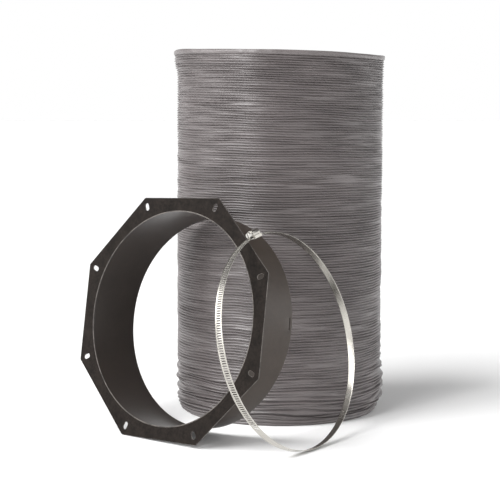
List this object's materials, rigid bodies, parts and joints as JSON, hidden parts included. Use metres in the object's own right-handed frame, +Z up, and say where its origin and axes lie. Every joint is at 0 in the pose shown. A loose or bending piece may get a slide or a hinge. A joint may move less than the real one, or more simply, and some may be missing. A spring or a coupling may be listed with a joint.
{
  "type": "flexible air duct kit",
  "caption": "Compressed flexible air duct of coated fabric on a wire helix, with an octagonal flange collar to slip it over and a worm-drive band clamp to hold it.",
  "frame": {"origin": "centre of the duct's lower end, on the surface that the kit stands on", "axes": "+Z up along the duct's axis, -Y towards the side where the collar and the clamp stand, +X to the right seen from there"},
  "size_m": [0.4454, 0.5513, 0.5352],
  "materials": {
    "duct_skin": "semi-gloss coated",
    "duct_cuff": "semi-gloss coated",
    "spring_wire": "drawn",
    "flange_coating": "matt powder coat",
    "spigot_coating": "satin coat",
    "stainless_strip": "bright rolled",
    "screw_steel": "bright"
  },
  "bodies": {
    "duct_1": {"outer_ply_1": "duct_skin", "inner_ply_1": "duct_skin", "wire_coil_1": "spring_wire", "lower_cuff": "duct_cuff"},
    "duct_2": {"outer_ply_2": "duct_skin", "inner_ply_2": "duct_skin", "wire_coil_2": "spring_wire"},
    "duct_3": {"outer_ply_3": "duct_skin", "inner_ply_3": "duct_skin", "wire_coil_3": "spring_wire"},
    "duct_4": {"outer_ply_4": "duct_skin", "inner_ply_4": "duct_skin", "wire_coil_4": "spring_wire"},
    "duct_5": {"outer_ply_5": "duct_skin", "inner_ply_5": "duct_skin", "wire_coil_5": "spring_wire"},
    "duct_6": {"outer_ply_6": "duct_skin", "inner_ply_6": "duct_skin", "wire_coil_6": "spring_wire"},
    "duct_7": {"outer_ply_7": "duct_skin", "inner_ply_7": "duct_skin", "wire_coil_7": "spring_wire"},
    "duct_8": {"outer_ply_8": "duct_skin", "inner_ply_8": "duct_skin", "wire_coil_8": "spring_wire", "upper_cuff": "duct_cuff"},
    "collar": {"flange_plate": "flange_coating", "spigot": "spigot_coating", "tack_welds": "flange_coating"},
    "clamp": {"clamp_band": "stainless_strip", "worm_housing": "stainless_strip", "housing_saddle": "stainless_strip"},
    "screw": {"worm_screw": "screw_steel"}
  },
  "joints": [
    {"name": "stretch_1", "type": "slide", "parent": "duct_1", "child": "duct_2", "axis": [0, 0, 1], "range_m": [0, 0.7812]},
    {"name": "bend_1", "type": "hinge", "parent": "duct_2", "child": "duct_3", "pos_m": [0.1546, 0, 0.1338], "axis": [0, 1, 0], "range_deg": [0, 30]},
    {"name": "stretch_2", "type": "slide", "parent": "duct_3", "child": "duct_4", "axis": [0, 0, 1], "range_m": [0, 0.7812]},
    {"name": "bend_2", "type": "hinge", "parent": "duct_4", "child": "duct_5", "pos_m": [0.1546, 0, 0.2676], "axis": [0, 1, 0], "range_deg": [0, 30]},
    {"name": "stretch_3", "type": "slide", "parent": "duct_5", "child": "duct_6", "axis": [0, 0, 1], "range_m": [0, 0.7812]},
    {"name": "bend_3", "type": "hinge", "parent": "duct_6", "child": "duct_7", "pos_m": [0.1546, 0, 0.4014], "axis": [0, 1, 0], "range_deg": [0, 30]},
    {"name": "stretch_4", "type": "slide", "parent": "duct_7", "child": "duct_8", "axis": [0, 0, 1], "range_m": [0, 0.7812]},
    {"name": "collar_lift", "type": "slide", "parent": "duct_1", "child": "collar", "axis": [-0.6621, 0.5583, 0.5], "range_m": [0, 0.45]},
    {"name": "clamp_lift", "type": "slide", "parent": "duct_1", "child": "clamp", "axis": [0.6621, -0.5583, 0.5], "range_m": [0, 0.45]},
    {"name": "worm_turn", "type": "hinge", "parent": "clamp", "child": "screw", "pos_m": [-0.03964, -0.27299, 0.28916], "axis": [0.5386, 0.822, 0.1848], "continuous": true}
  ],
  "couplings": [
    {"joint": "stretch_2", "follows": "stretch_1", "ratio": 1},
    {"joint": "bend_2", "follows": "bend_1", "ratio": 1},
    {"joint": "stretch_3", "follows": "stretch_1", "ratio": 1},
    {"joint": "bend_3", "follows": "bend_1", "ratio": 1},
    {"joint": "stretch_4", "follows": "stretch_1", "ratio": 1}
  ]
}
